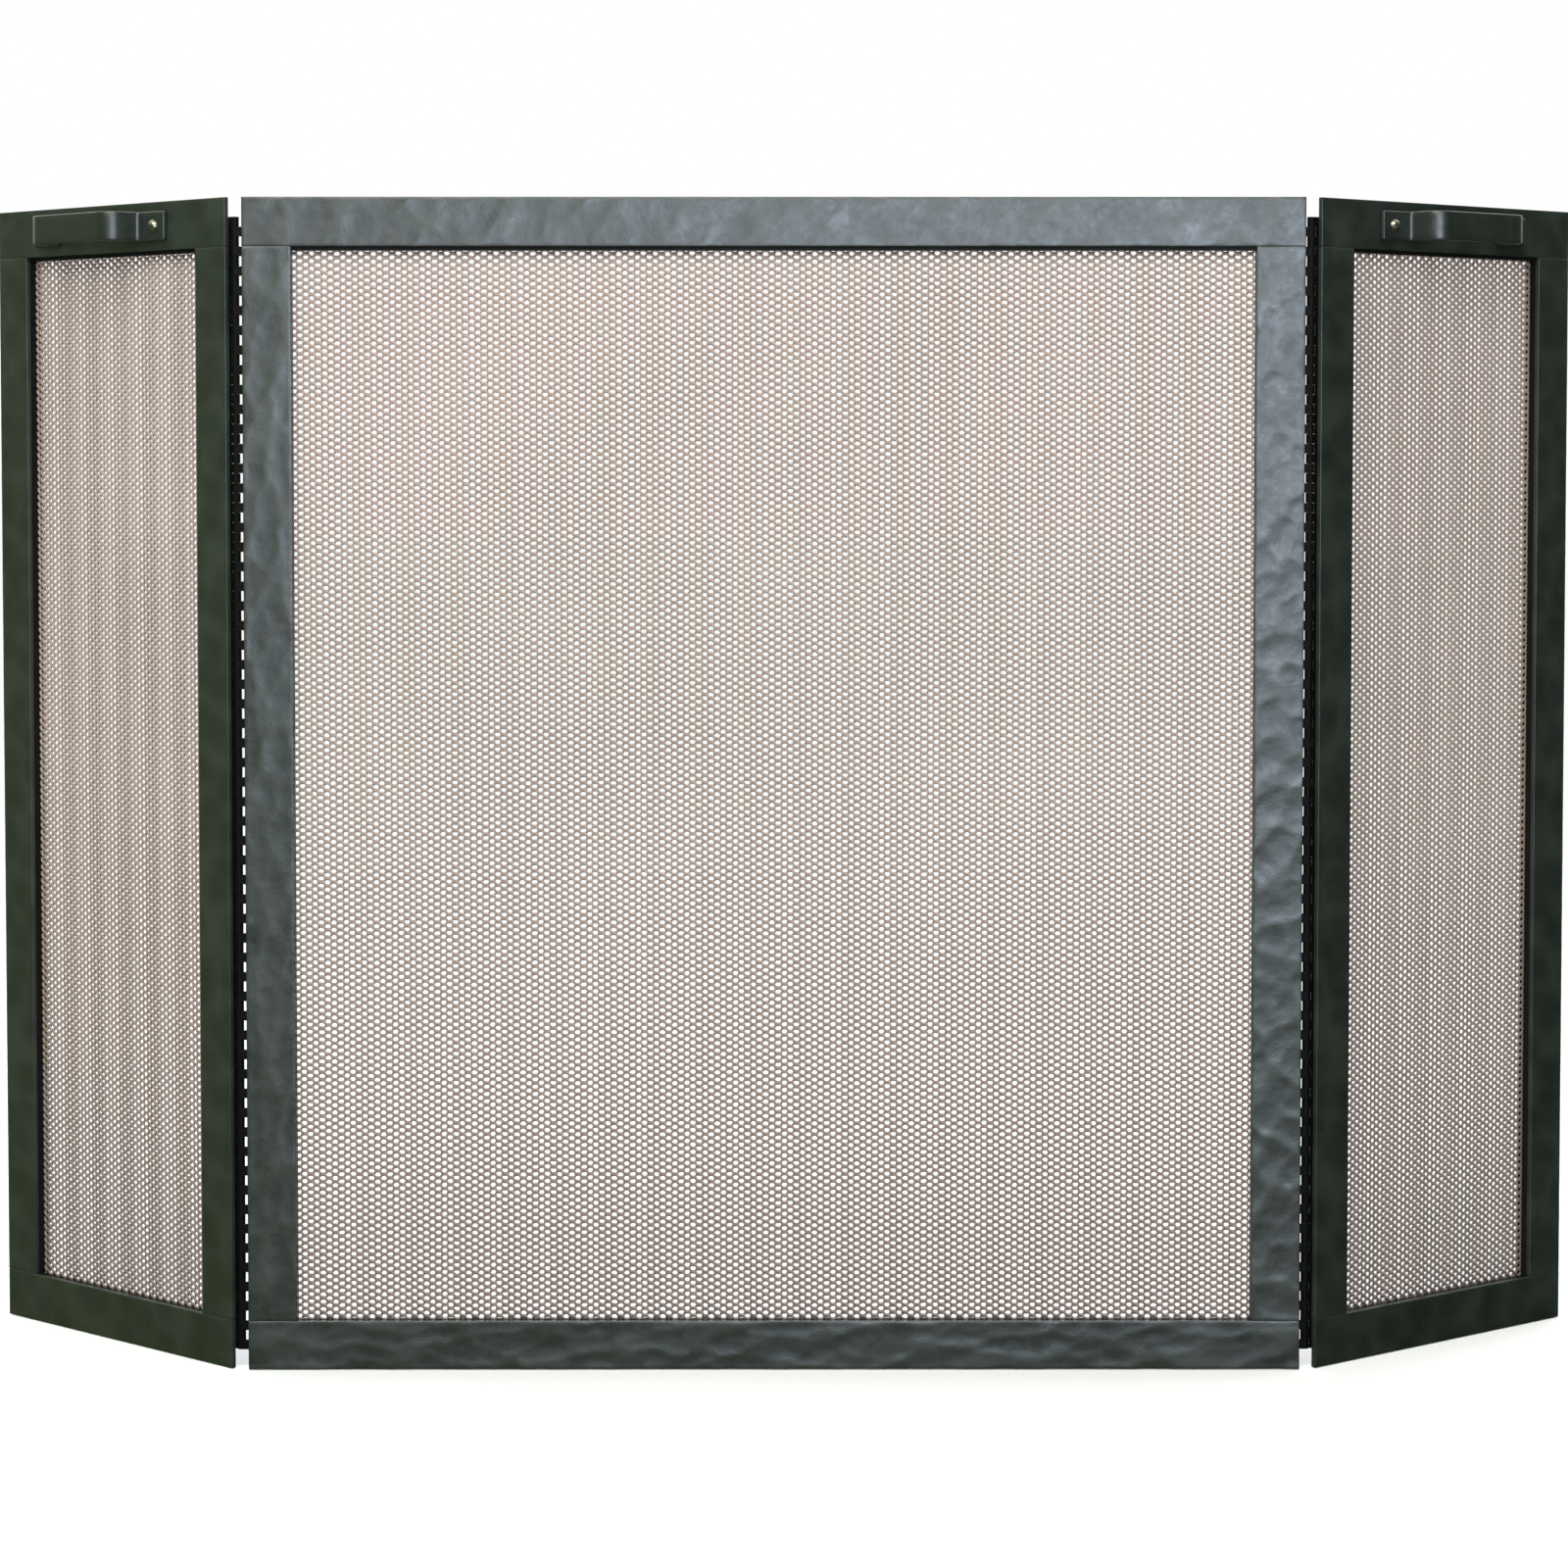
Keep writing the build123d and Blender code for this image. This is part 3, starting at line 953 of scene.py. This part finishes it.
# matt paper: white, with no shine of its own
floor_material, tree, shader, _ = new_material("white_studio_floor")
feed(tree, shader, {"Base Color": linear("#f3f4f8"), "Roughness": FLOOR_ROUGHNESS})
floor_mesh = bpy.data.meshes.new("studio_floor")
shape = bmesh.new()
bmesh.ops.create_grid(shape, x_segments=1, y_segments=1, size=FLOOR_SIZE / 2)
shape.to_mesh(floor_mesh)
shape.free()
floor_mesh.materials.append(floor_material)
floor = bpy.data.objects.new("studio_floor", floor_mesh)
floor.location.z = -FLOOR_DROP
bpy.context.scene.collection.objects.link(floor)
floor.visible_glossy = False
floor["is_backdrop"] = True
print("floor:", FLOOR_SIZE, "m wide")

# %% [markdown]
# ## Two lights
# A long soft light near the lens gives the frame its cool shine, and because
# it stands for a bright window in a reflection it feeds only the shine. A
# second one, above and to the left, lights everything.


# %% Lights
def soft_light(name, place, target, size, power, colour):
    """A rectangular soft light that faces a point."""
    lamp = bpy.data.lights.new(name, "AREA")
    lamp.shape = "RECTANGLE"
    lamp.size, lamp.size_y = size
    lamp.energy = power
    lamp.color = linear(colour)[:3]
    light = bpy.data.objects.new(name, lamp)
    light.location = place
    aim = Vector(target) - Vector(place)
    light.rotation_euler = aim.to_track_quat("-Z", "Y").to_euler()
    bpy.context.scene.collection.objects.link(light)
    return light


# places and sizes in metres
KEY_PLACE = (0.58, -3.1, 0.75)
KEY_TARGET = (0.1, 0, 0.55)
KEY_SIZE = (1.9, 0.6)
KEY_WATTS = 58
TOP_PLACE = (-0.45, -1.9, 2.4)
TOP_TARGET = (0, 0, 0.35)
TOP_SIZE = (2.2, 1.6)
TOP_WATTS = 120

window = soft_light("key_softbox", KEY_PLACE, KEY_TARGET, KEY_SIZE, KEY_WATTS, "#dfeaff")
window.visible_diffuse = False
soft_light("top_softbox", TOP_PLACE, TOP_TARGET, TOP_SIZE, TOP_WATTS, "#fbfaf4")

# %% [markdown]
# ## The surround
# The lens sees white all round. White behind the screen also lights the wire
# from the back. The rest of the room is a dim green, darker to the right, and
# that is what the folded wings mirror.

# %% Surround
PAPER_WHITE = (1.0, 1.0, 1.0, 1.0)
BACK_WHITE = (2.4, 2.4, 2.4, 1.0)
TOWARDS_BACK = (0.0, 0.8, 0.6)
BACK_FADE = (0.3, 0.9)

world = bpy.data.worlds.new("white_surround")
world.use_nodes = True
bpy.context.scene.world = world
tree = world.node_tree
looking = add_node(tree, "ShaderNodeTexCoord").outputs["Generated"]
rightwards = add_node(tree, "ShaderNodeSeparateXYZ", {0: looking}).outputs["X"]
room = blend(tree, fade(tree, rightwards, -1.0, 1.0), linear("#6d7d4e"), linear("#272f24"))
backwards = add_node(
    tree, "ShaderNodeVectorMath", {0: looking, 1: TOWARDS_BACK}, operation="DOT_PRODUCT"
)
back_share = fade(tree, backwards.outputs["Value"], *BACK_FADE, "SMOOTHSTEP")
surround = blend(tree, back_share, room, BACK_WHITE)
camera_ray = add_node(tree, "ShaderNodeLightPath").outputs["Is Camera Ray"]
shown = blend(tree, camera_ray, surround, PAPER_WHITE)
feed(tree, tree.nodes["Background"], {"Color": shown})
bpy.context.scene.view_settings.view_transform = "Standard"
print("surround nodes:", len(tree.nodes))

# %% [markdown]
# ## Measure
# The box of the dressed screen is printed.

# %% Measure the dressed screen
low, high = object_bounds()
print("visual box:", [round(v, 4) for v in (*low, *high)])
